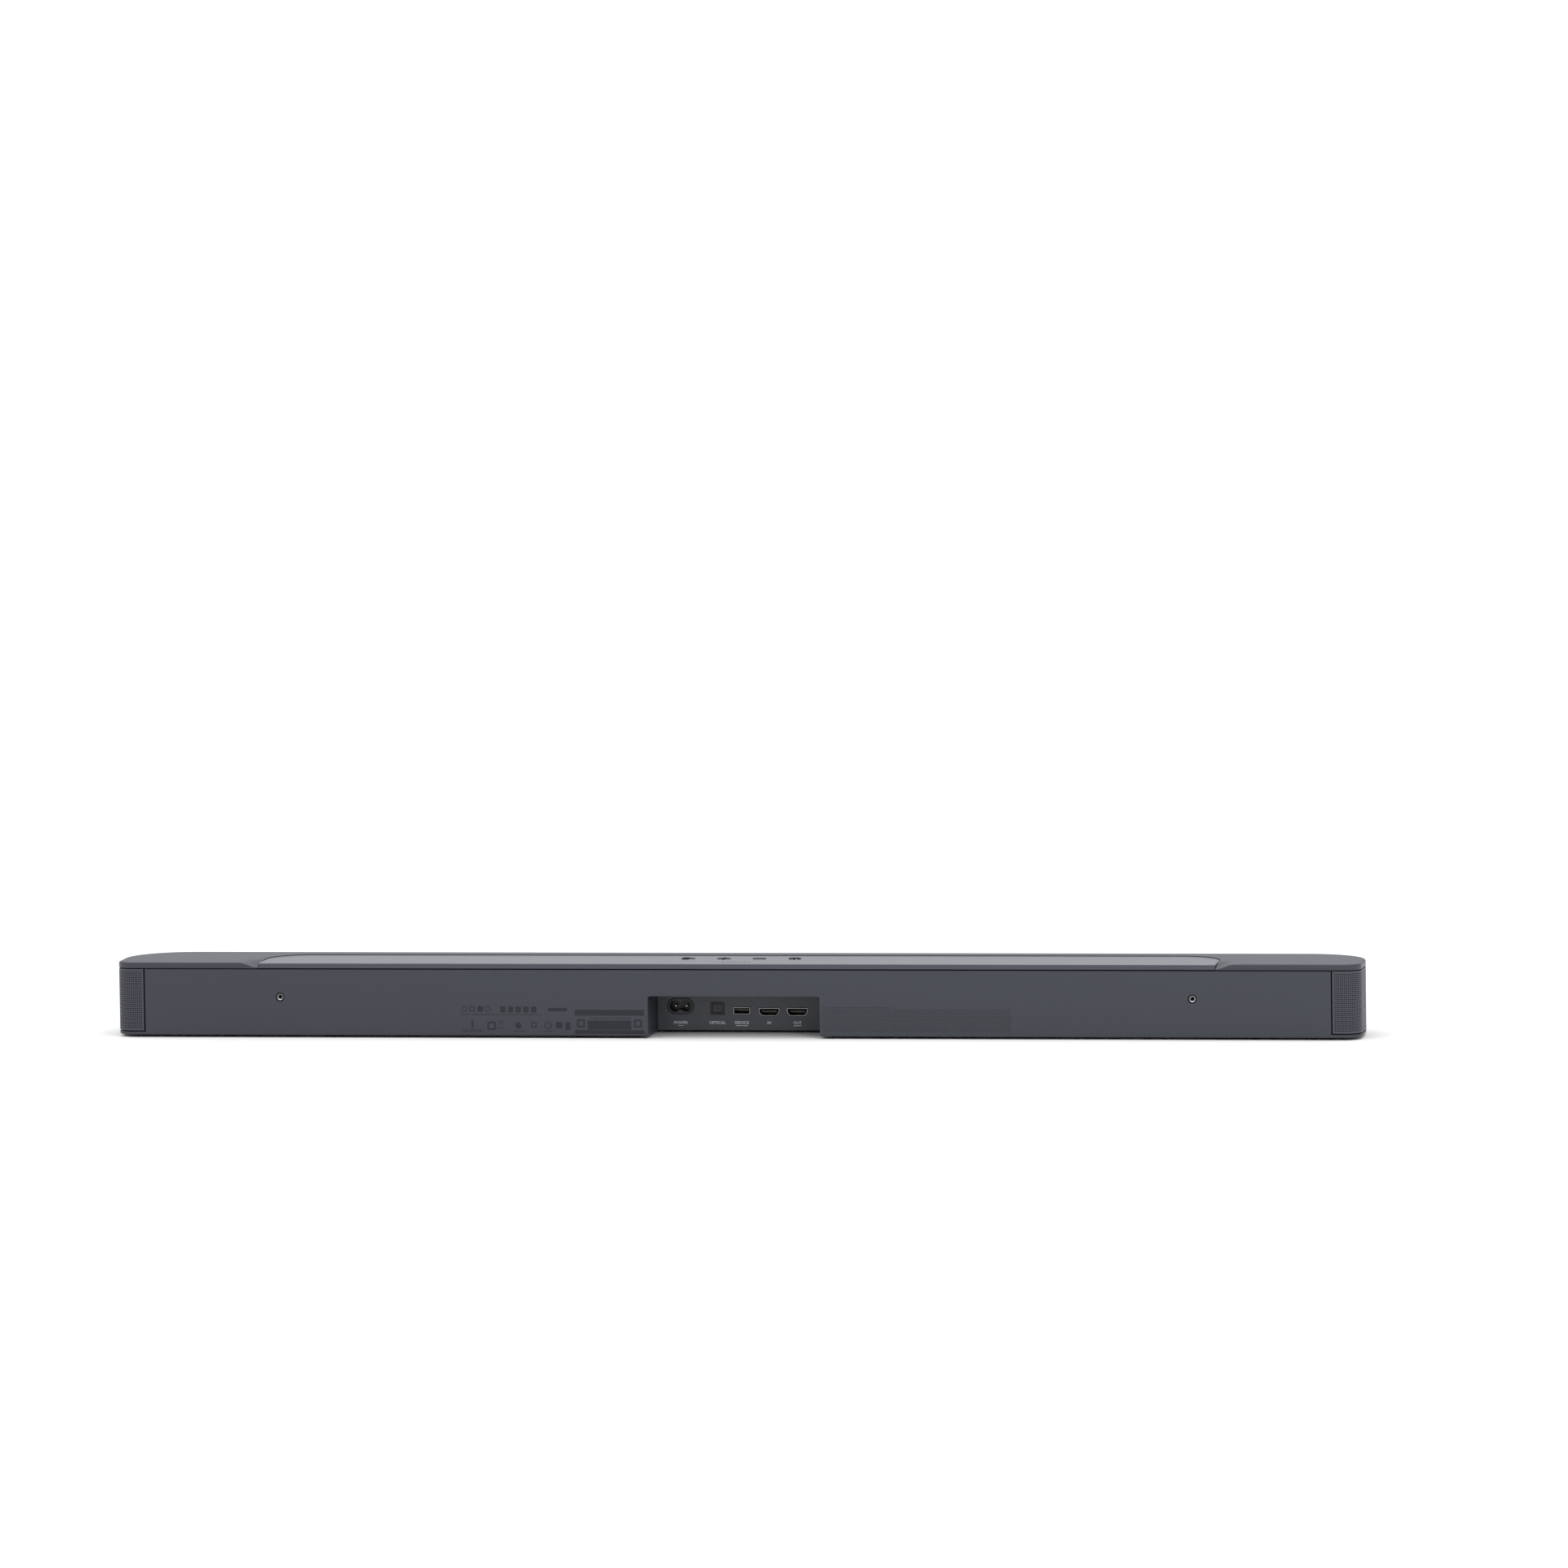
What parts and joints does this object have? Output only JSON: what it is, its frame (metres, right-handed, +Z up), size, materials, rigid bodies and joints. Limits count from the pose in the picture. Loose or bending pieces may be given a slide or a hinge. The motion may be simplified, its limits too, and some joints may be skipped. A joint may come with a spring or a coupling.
{
  "type": "soundbar",
  "caption": "Long low soundbar with a wrap-round grille, an inlaid deck with push keys, a rear connector bay, and drive units and electronics inside.",
  "frame": {"origin": "middle of the footprint, on the surface that the feet stand on", "axes": "+X along the bar, +Y towards the rear wall and its connector bay, +Z up; the listening side faces -Y"},
  "size_m": [0.965, 0.085, 0.058],
  "materials": {
    "shell_plastic": "slate grey moulded plastic, fine satin texture",
    "deck_plastic": "slate grey satin plastic, smoother than the shell",
    "grille_metal": "slate grey powder-coated perforated sheet",
    "inner_black": "black moulded plastic",
    "bay_plastic": "dark slate moulded plastic",
    "key_rubber": "dark matte key caps",
    "socket_black": "black connector plastic",
    "plated_steel": "bright nickel-plated contacts and shells",
    "black_steel": "turned steel, blackened",
    "circuit_board": "green solder mask",
    "ferrite": "sintered ferrite and plated steel",
    "aluminium": "extruded aluminium",
    "capacitor_sleeve": "heat-shrunk sleeve",
    "paper_cone": "coated paper",
    "rubber": "soft black rubber",
    "silk_dome": "coated silk",
    "smoked_lens": "smoked acrylic",
    "zinc_steel": "zinc-plated steel"
  },
  "bodies": {
    "chassis": {"amplifier_board": "circuit_board", "bulk_capacitor": "capacitor_sleeve", "button_board": "circuit_board", "case_screw_1": "zinc_steel", "case_screw_2": "zinc_steel", "case_screw_3": "zinc_steel", "case_screw_4": "zinc_steel", "display_board": "circuit_board", "display_lens": "smoked_lens", "driver_1_basket": "inner_black", "driver_1_motor": "ferrite", "driver_1_surround": "rubber", "driver_2_basket": "inner_black", "driver_2_motor": "ferrite", "driver_2_surround": "rubber", "driver_3_basket": "inner_black", "driver_3_motor": "ferrite", "driver_3_surround": "rubber", "driver_4_basket": "inner_black", "driver_4_motor": "ferrite", "driver_4_surround": "rubber", "front_baffle": "inner_black", "heat_sink": "aluminium", "inlet_pin_left": "plated_steel", "inlet_pin_right": "plated_steel", "left_end_frame": "inner_black", "left_foot": "rubber", "left_mount_insert": "black_steel", "left_tweeter_body": "inner_black", "main_board": "circuit_board", "mains_inlet": "socket_black", "optical_socket": "socket_black", "port_panel": "bay_plastic", "power_board": "circuit_board", "rear_housing": "shell_plastic", "right_end_frame": "inner_black", "right_foot": "rubber", "right_mount_insert": "black_steel", "right_tweeter_body": "inner_black", "service_socket": "plated_steel", "service_tongue": "socket_black", "top_cover": "shell_plastic", "top_deck": "deck_plastic", "transformer": "ferrite", "video_in_socket": "plated_steel", "video_in_tongue": "socket_black", "video_out_socket": "plated_steel", "video_out_tongue": "socket_black", "wrap_grille": "grille_metal"},
    "key_source": {"key_source": "key_rubber"},
    "key_volume_up": {"key_volume_up": "key_rubber"},
    "key_volume_down": {"key_volume_down": "key_rubber"},
    "key_power": {"key_power": "key_rubber"},
    "cone_1": {"driver_1_cone": "paper_cone"},
    "cone_2": {"driver_2_cone": "paper_cone"},
    "cone_3": {"driver_3_cone": "paper_cone"},
    "cone_4": {"driver_4_cone": "paper_cone"},
    "left_dome": {"left_tweeter_dome": "silk_dome"},
    "right_dome": {"right_tweeter_dome": "silk_dome"},
    "shutter": {"optical_shutter": "socket_black"}
  },
  "joints": [
    {"name": "key_source_press", "type": "slide", "parent": "chassis", "child": "key_source", "axis": [0, 0, -1], "range_m": [0, 0.0006], "stiffness_N_per_m": 1500},
    {"name": "key_volume_up_press", "type": "slide", "parent": "chassis", "child": "key_volume_up", "axis": [0, 0, -1], "range_m": [0, 0.0006], "stiffness_N_per_m": 1500},
    {"name": "key_volume_down_press", "type": "slide", "parent": "chassis", "child": "key_volume_down", "axis": [0, 0, -1], "range_m": [0, 0.0006], "stiffness_N_per_m": 1500},
    {"name": "key_power_press", "type": "slide", "parent": "chassis", "child": "key_power", "axis": [0, 0, -1], "range_m": [0, 0.0006], "stiffness_N_per_m": 1500},
    {"name": "cone_1_travel", "type": "slide", "parent": "chassis", "child": "cone_1", "axis": [0, -1, 0], "range_m": [-0.002, 0.002], "stiffness_N_per_m": 1200},
    {"name": "cone_2_travel", "type": "slide", "parent": "chassis", "child": "cone_2", "axis": [0, -1, 0], "range_m": [-0.002, 0.002], "stiffness_N_per_m": 1200},
    {"name": "cone_3_travel", "type": "slide", "parent": "chassis", "child": "cone_3", "axis": [0, -1, 0], "range_m": [-0.002, 0.002], "stiffness_N_per_m": 1200},
    {"name": "cone_4_travel", "type": "slide", "parent": "chassis", "child": "cone_4", "axis": [0, -1, 0], "range_m": [-0.002, 0.002], "stiffness_N_per_m": 1200},
    {"name": "left_dome_travel", "type": "slide", "parent": "chassis", "child": "left_dome", "axis": [0, -1, 0], "range_m": [-0.0003, 0.0003], "stiffness_N_per_m": 3000},
    {"name": "right_dome_travel", "type": "slide", "parent": "chassis", "child": "right_dome", "axis": [0, -1, 0], "range_m": [-0.0003, 0.0003], "stiffness_N_per_m": 3000},
    {"name": "shutter_swing", "type": "hinge", "parent": "chassis", "child": "shutter", "pos_m": [0.0197, -0.00175, 0.02195], "axis": [-1, 0, 0], "range_deg": [0, 80], "stiffness_Nm_per_rad": 0.002}
  ]
}
